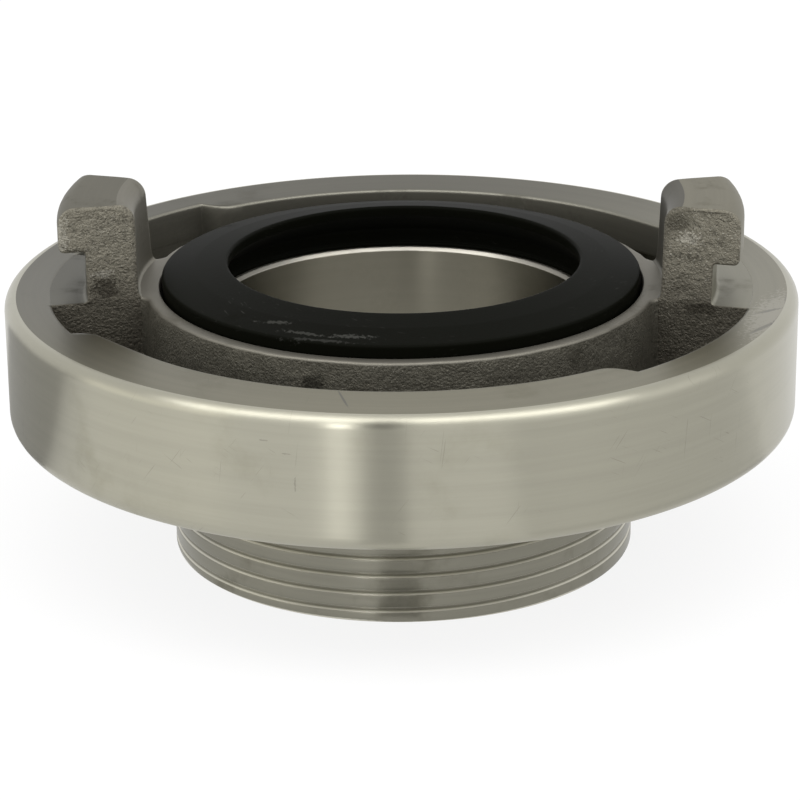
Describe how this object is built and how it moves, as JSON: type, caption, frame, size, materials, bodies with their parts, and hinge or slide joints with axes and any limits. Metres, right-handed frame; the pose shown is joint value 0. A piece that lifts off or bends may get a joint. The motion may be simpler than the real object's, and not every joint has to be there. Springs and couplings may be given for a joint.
{
  "type": "storz coupling",
  "caption": "Fixed bayonet hose coupling of cast aluminium with a rubber seal ring in its face and a male pipe thread underneath.",
  "frame": {"origin": "centre of the thread's end face, on which the coupling stands", "axes": "+Z along the axis from the thread towards the hooks; the hooks are centred on +X and -X"},
  "size_m": [0.101, 0.101, 0.0462],
  "materials": {
    "cast_aluminium": "turned faces satin, cast faces rough",
    "black_rubber": "matte"
  },
  "bodies": {
    "root": {"coupling_body": "cast_aluminium", "seal_ring": "black_rubber"}
  },
  "joints": []
}
